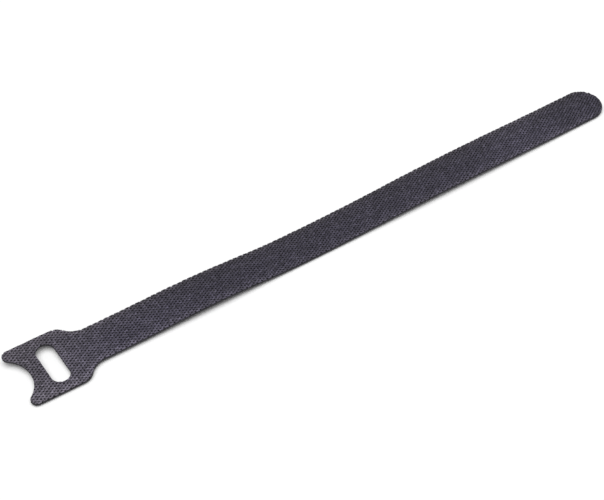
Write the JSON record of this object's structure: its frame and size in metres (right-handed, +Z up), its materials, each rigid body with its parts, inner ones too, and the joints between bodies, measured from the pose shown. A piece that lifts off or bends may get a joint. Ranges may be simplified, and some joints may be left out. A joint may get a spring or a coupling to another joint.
{
  "type": "hook-and-loop cable tie",
  "caption": "Flat hook-and-loop cable tie with a slotted fishtail head and a long rounded strap, lying open on a bench.",
  "frame": {"origin": "middle of the outline's box, on the bench that the tie lies on", "axes": "+X from the slotted head to the round tip, +Z up out of the loop face, +Y to the side that the head's lean lifts"},
  "size_m": [0.2001, 0.0204, 0.0024],
  "materials": {
    "tape": "charcoal knitted loop face over moulded hooks, matt"
  },
  "bodies": {
    "root": {"strap": "tape"}
  },
  "joints": []
}
